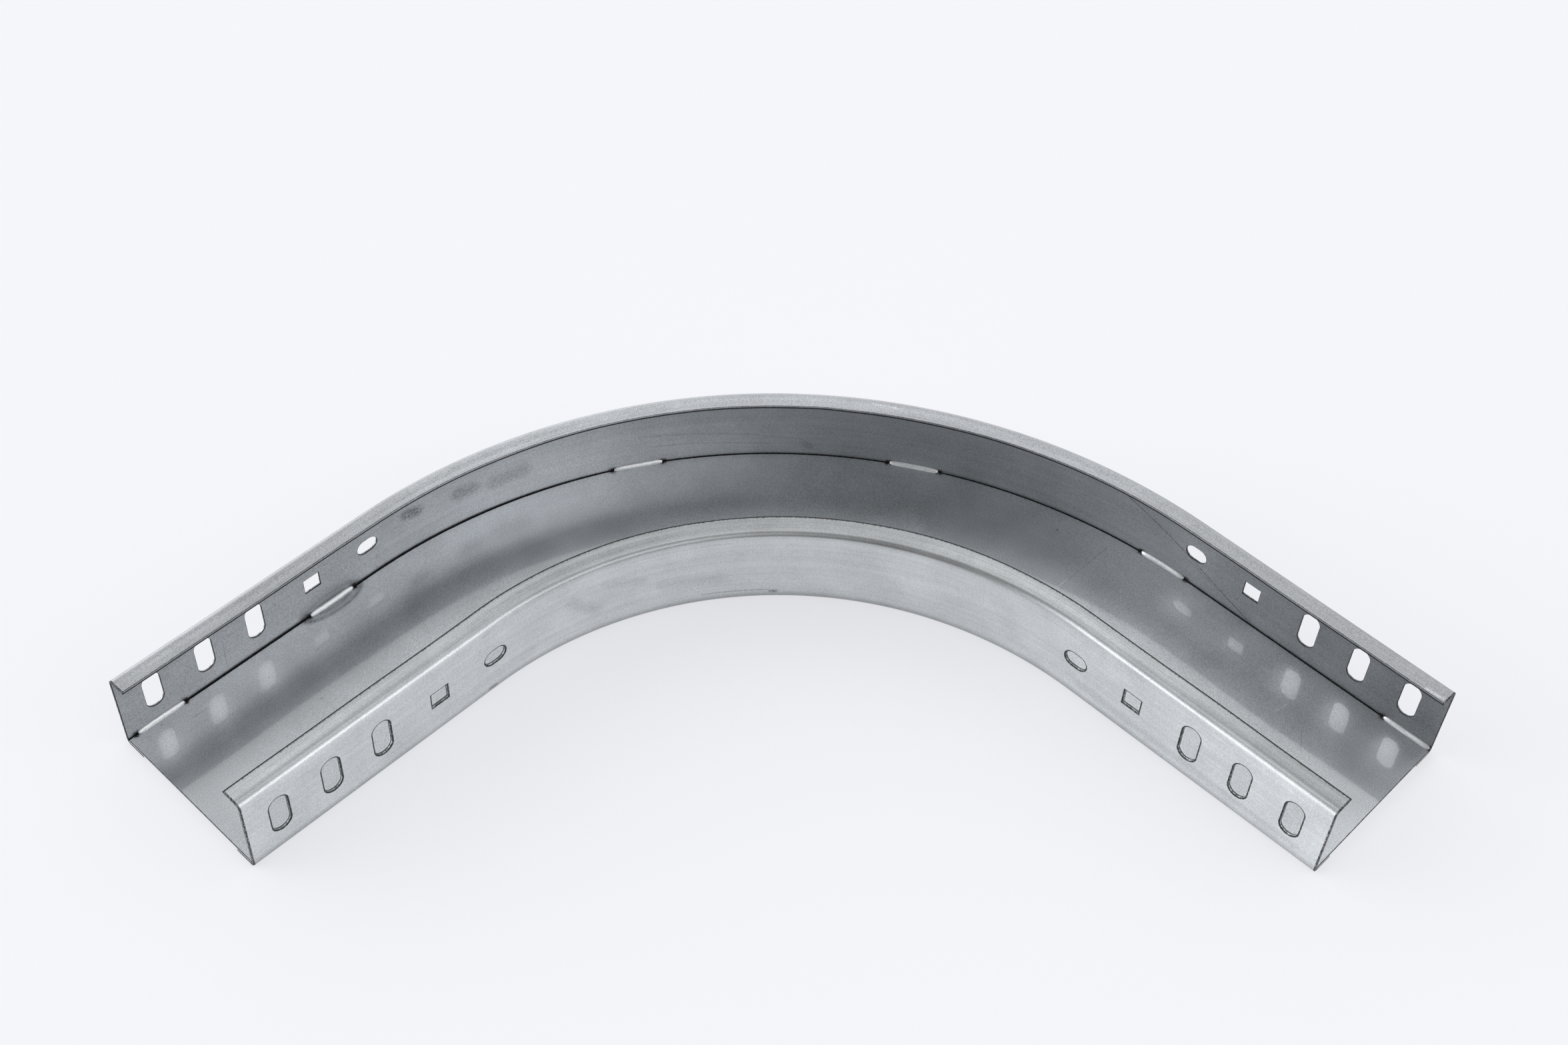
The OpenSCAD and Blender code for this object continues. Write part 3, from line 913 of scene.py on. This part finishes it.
class TRAY_OT_side_rails(TrayOperator, bpy.types.Operator):
    """Make the two folded side rails with their punched holes"""

    bl_idname = "object.tray_side_rails"
    bl_label = "Side Rails"

    def execute(self, context):
        """Makes each rail's sheet, its marks and its steel."""
        sizes, finish = context.scene.tray_sizes, context.scene.tray_finish
        ends = weld_ends(sizes)
        rails = (("outer", True, 1.4, OUTER_RAIL_MARKS), ("inner", False, 0.9, INNER_RAIL_MARKS))
        for name, outer, grain, line_marks in rails:
            rail = SideRail(sizes, outer)
            points, quads, s, p, depth, cut = rail.surface()
            marks = rail_marks(rail, getattr(finish, f"{name}_blur"), ends, points, s, p, depth, cut)
            material = sheet_material(f"{name.title()} Rail Steel", finish, name, grain, line_marks)
            add_piece(f"{name}_rail_sheet", points, quads, material, [f"{name}_side_rail"],
                      np.stack([s, p], axis=-1), marks)
        return {"FINISHED"}


class TRAY_OT_weld_beads(TrayOperator, bpy.types.Operator):
    """Make the weld beads in the corners of the plate and the rails"""

    bl_idname = "object.tray_weld_beads"
    bl_label = "Weld Beads"

    def execute(self, context):
        """Makes a bead at the place of each of the frame's welds."""
        sizes = context.scene.tray_sizes
        material = weld_material(context.scene.tray_finish)
        plate = FloorPlate(sizes)
        faces = (("outer", sizes.bend_radius + sizes.width, -1), ("inner", sizes.bend_radius, 1))
        for name, face, side in faces:
            line = TrayLine(sizes, face)
            for i in range(1, WELDS + 1):
                node = f"{name}_weld_{i}"
                middle = middle_of(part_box(node))
                gap = sizes.plate_gap
                if name == "outer":
                    gap += float(plate.outer_gap(plate.line.station(middle)))
                points, quads, soot = bead_surface(line, line.station(middle), side, sizes, gap, i)
                add_piece(f"{node}_bead", points, quads, material, [node], marks={"soot": soot})
        return {"FINISHED"}


SOFT_LIGHTS = (
    # Azimuth from the direction that the camera looks along, elevation, strength, sharpness
    (0, 4, 1.15, 10),
    (90, 4, 6.0, 10),
    (270, 4, 0.2, 10),
    (0, 20, 0.7, 10),
    (45, 20, 2.1, 10),
    (90, 20, 1.65, 10),
    (270, 20, 1.6, 10),
    (45, 42, 0.1, 10),
    (135, 42, 0.06, 10),
    (225, 42, 1.7, 10),
    (315, 42, 1.15, 10),
    (28, 54, 0.30, 40),
    (332, 53, 0.26, 40),
)
# Light of the room between the soft lights, and the white that the camera sees past the ground
ROOM_LIGHT, CAMERA_WHITE = 0.02, 0.93
# The camera: direction that it looks along in degrees, place in metres, turn in degrees, and lens and sensor
# in millimetres
CAMERA_AZIMUTH = 41.8
CAMERA_PLACE = (-0.47469, -0.41505, 0.88802)
CAMERA_TURN = (41.088, -2.011, -45.902)
CAMERA_LENS, CAMERA_SENSOR = 50.97, 36
# Half the side of the ground in metres
GROUND_REACH = 6.0


def studio_world():
    """A dim room with large soft lights low at both sides and weaker ones higher up.

    Each light fades with the angle from its middle, as e to the power of its sharpness times the cosine
    less 1. The camera sees white.
    """
    world = bpy.data.worlds.new("Studio")
    world.use_nodes = True
    t = Tree(world.node_tree)
    back = world.node_tree.nodes["Background"]
    back.inputs["Color"].default_value = (0.985, 0.99, 1.0, 1)
    way = t.coordinates("Generated")
    level = ROOM_LIGHT
    for azimuth, elevation, strength, sharpness in SOFT_LIGHTS:
        a, e = math.radians(CAMERA_AZIMUTH + azimuth), math.radians(elevation)
        axis = (math.cos(e) * math.cos(a), math.cos(e) * math.sin(a), math.sin(e))
        facing = t.vector("DOT_PRODUCT", way, axis)
        fade = t.math("EXPONENT", t.math("MULTIPLY", t.math("SUBTRACT", facing, 1.0), sharpness))
        level = t.math("ADD", t.math("MULTIPLY", fade, strength), level)
    seen = t.add("ShaderNodeLightPath").outputs["Is Camera Ray"]
    unseen = t.math("MULTIPLY", t.math("SUBTRACT", 1.0, seen), level)
    t.put(back.inputs["Strength"], t.math("ADD", t.math("MULTIPLY", seen, CAMERA_WHITE), unseen))
    return world


def ground_material(finish):
    """Matt paper. To the camera and in the steel a share of its own white shows, so shadows stay light."""
    material, t, shader = new_material("Ground Paper")
    paper = (*finish.ground, 1)
    t.put(shader["Base Color"], paper)
    t.put(shader["Roughness"], 0.9)
    t.put(shader["Specular IOR Level"], 0.1)
    matt = material.node_tree.nodes["Principled BSDF"].outputs[0]
    white = t.add("ShaderNodeEmission", Color=paper, Strength=1.0).outputs[0]
    path = t.add("ShaderNodeLightPath").outputs
    seen = t.math("MAXIMUM", path["Is Camera Ray"], path["Is Glossy Ray"])
    both = t.add("ShaderNodeMixShader", i0=t.math("MULTIPLY", seen, finish.ground_lift), i1=matt, i2=white)
    t.put(material.node_tree.nodes["Material Output"].inputs["Surface"], both.outputs[0])
    return material


class TRAY_OT_stage(TrayOperator, bpy.types.Operator):
    """Make the ground, the studio light and the camera"""

    bl_idname = "object.tray_stage"
    bl_label = "Stage"

    def execute(self, context):
        """Makes the ground, lights the world and sets the camera."""
        scene, finish = context.scene, context.scene.tray_finish
        low, high = -GROUND_REACH, GROUND_REACH
        corners = [(low, low, 0), (high, low, 0), (high, high, 0), (low, high, 0)]
        mesh = bpy.data.meshes.new("ground")
        mesh.from_pydata(corners, [], [(0, 1, 2, 3)])
        ground = bpy.data.objects.new("ground", mesh)
        scene.collection.objects.link(ground)
        mesh.materials.append(ground_material(finish))

        scene.world = studio_world()
        scene.view_settings.view_transform = "Standard"

        camera = bpy.data.objects.new("camera", bpy.data.cameras.new("camera"))
        scene.collection.objects.link(camera)
        camera.location = CAMERA_PLACE
        camera.rotation_euler = Euler([math.radians(a) for a in CAMERA_TURN])
        camera.data.sensor_width = CAMERA_SENSOR
        camera.data.lens = CAMERA_LENS
        camera.data.clip_start = 0.01
        scene.camera = camera
        return {"FINISHED"}


class TRAY_PT_panel(bpy.types.Panel):
    """Lists the tray's pieces in the sidebar"""

    bl_label = "Cable Tray Bend"
    bl_space_type = "VIEW_3D"
    bl_region_type = "UI"
    bl_category = "Tray Bend"

    def draw(self, context):
        """A button for each operator, then the sizes and the finish."""
        for operator in OPERATORS:
            self.layout.operator(operator.bl_idname)
        for group in (context.scene.tray_sizes, context.scene.tray_finish):
            for name in group.__annotations__:
                self.layout.prop(group, name)


OPERATORS = (TRAY_OT_floor_plate, TRAY_OT_side_rails, TRAY_OT_weld_beads, TRAY_OT_stage)
CLASSES = (TraySizes, TrayFinish, *OPERATORS, TRAY_PT_panel)


def register():
    """Adds the classes and the scene's sizes and finish."""
    for cls in CLASSES:
        bpy.utils.register_class(cls)
    bpy.types.Scene.tray_sizes = PointerProperty(type=TraySizes)
    bpy.types.Scene.tray_finish = PointerProperty(type=TrayFinish)


def unregister():
    """Takes them away again."""
    del bpy.types.Scene.tray_finish
    del bpy.types.Scene.tray_sizes
    for cls in reversed(CLASSES):
        bpy.utils.unregister_class(cls)


def main():
    """Registers the classes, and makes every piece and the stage."""
    register()
    rolled_group()
    soot_group()
    mark_group()
    bpy.ops.object.tray_floor_plate()
    bpy.ops.object.tray_side_rails()
    bpy.ops.object.tray_weld_beads()
    bpy.ops.object.tray_stage()


if __name__ == "__main__":
    main()
